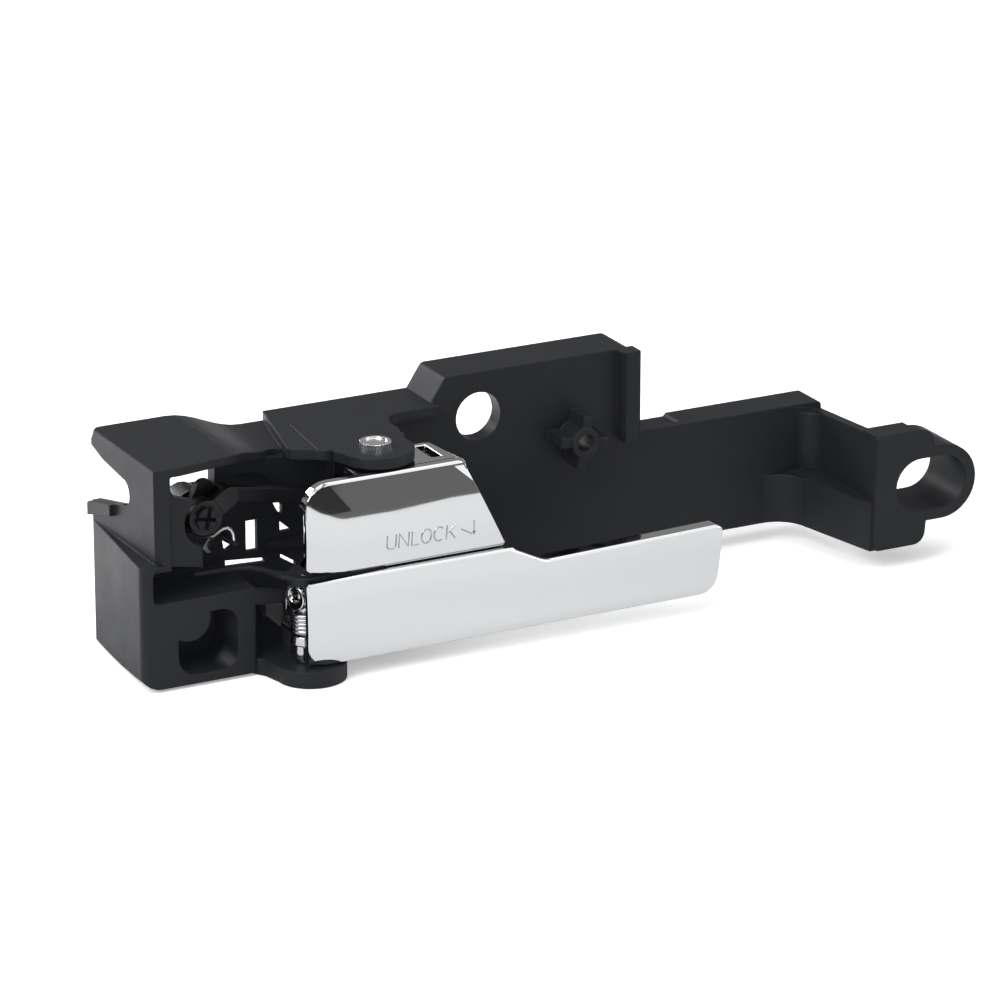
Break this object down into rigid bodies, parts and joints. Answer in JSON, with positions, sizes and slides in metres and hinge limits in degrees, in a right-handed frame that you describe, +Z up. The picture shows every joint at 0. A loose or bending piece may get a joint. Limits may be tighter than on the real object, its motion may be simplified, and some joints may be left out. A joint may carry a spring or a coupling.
{
  "type": "car interior door handle",
  "caption": "Interior door handle of a car: black moulded housing with a chrome release lever, a chrome lock lever above it and a lock crank with its link.",
  "frame": {"origin": "centre of the round hole in the back plate, on the plate's front face", "axes": "+X along the handle towards its slotted tab, -Y towards the passenger, +Z up"},
  "size_m": [0.2762, 0.065, 0.071],
  "materials": {
    "housing_black": "moulded glass-filled plastic, semi-gloss",
    "lever_chrome": "bright plated",
    "pin_steel": "turned and zinc plated",
    "spring_steel": "bright drawn wire",
    "crank_black": "smooth moulded plastic",
    "bumper_rubber": "soft matt rubber"
  },
  "bodies": {
    "housing": {"housing": "housing_black", "lock_pin": "pin_steel", "release_pin": "pin_steel", "release_spring": "spring_steel", "lock_spring": "spring_steel", "crank_spring": "spring_steel", "release_bumper": "bumper_rubber"},
    "release_lever": {"release_lever": "lever_chrome"},
    "lock_lever": {"lock_lever": "lever_chrome"},
    "lock_crank": {"lock_crank": "crank_black"},
    "lock_link": {"lock_link": "crank_black"}
  },
  "joints": [
    {"name": "release_pull", "type": "hinge", "parent": "housing", "child": "release_lever", "pos_m": [-0.0755, -0.037, -0.039], "axis": [0, 0, -1], "range_deg": [0, 30], "stiffness_Nm_per_rad": 1.2, "springref_deg": -28.65},
    {"name": "lock_rock", "type": "hinge", "parent": "housing", "child": "lock_lever", "pos_m": [-0.0482, -0.028, -0.011], "axis": [0, 0, 1], "range_deg": [0, 12]},
    {"name": "crank_turn", "type": "hinge", "parent": "housing", "child": "lock_crank", "pos_m": [-0.0995, -0.016, -0.0095], "axis": [0, -1, 0], "range_deg": [0, 19.2]},
    {"name": "link_swing", "type": "hinge", "parent": "lock_crank", "child": "lock_link", "pos_m": [-0.09149, -0.018, -0.0044], "axis": [0, -1, 0], "range_deg": [-22.2, 0]}
  ],
  "couplings": [
    {"joint": "crank_turn", "follows": "lock_rock", "ratio": 1.59},
    {"joint": "link_swing", "follows": "lock_rock", "ratio": -1.84}
  ]
}
